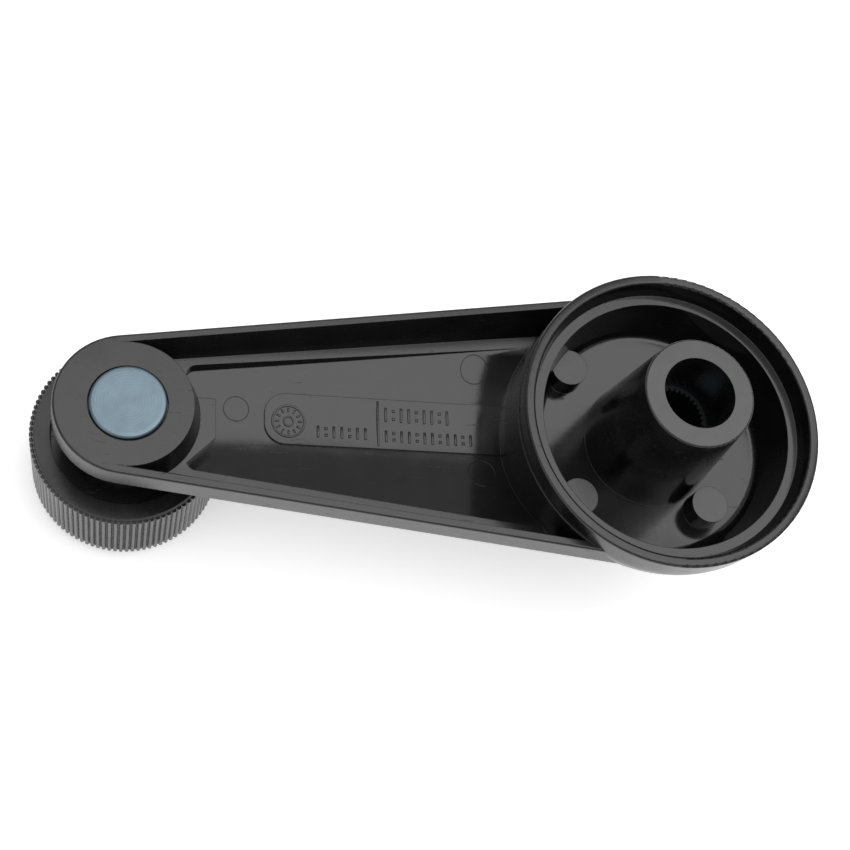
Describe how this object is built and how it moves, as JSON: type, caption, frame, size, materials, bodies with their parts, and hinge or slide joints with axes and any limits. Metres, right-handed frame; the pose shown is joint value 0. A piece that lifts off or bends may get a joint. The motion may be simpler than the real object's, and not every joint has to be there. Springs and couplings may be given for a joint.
{
  "type": "window winder crank",
  "caption": "Moulded window winder crank with a hollow tapered arm, a cupped hub with a splined spindle boss, and a knurled knob that spins on a rivet.",
  "frame": {"origin": "centre of the spindle boss's mouth, on the spindle axis", "axes": "+Z out of the bore towards the door, +X from the knob towards the hub along the arm, +Y across the arm"},
  "size_m": [0.1309, 0.0524, 0.0493],
  "materials": {
    "black_plastic": "satin moulded black ABS",
    "knob_plastic": "matt moulded black polypropylene",
    "cover_plastic": "fine-textured black ABS",
    "bush_plastic": "natural acetal",
    "zinc_plated_steel": "bright bluish zinc plate"
  },
  "bodies": {
    "arm": {"arm_shell": "black_plastic", "spline_sleeve": "zinc_plated_steel", "fixing_screw": "zinc_plated_steel", "lock_washer": "zinc_plated_steel", "hub_cover": "cover_plastic", "knob_rivet": "zinc_plated_steel", "wear_washer": "bush_plastic", "spring_washer": "zinc_plated_steel", "retaining_washer": "zinc_plated_steel"},
    "knob": {"knob_bush": "bush_plastic", "knob_body": "knob_plastic", "knob_cap": "cover_plastic"}
  },
  "joints": [
    {"name": "knob_spin", "type": "hinge", "parent": "arm", "child": "knob", "pos_m": [-0.09, 0, -0.0168], "axis": [-0.0698, 0, 0.9976], "continuous": true}
  ]
}
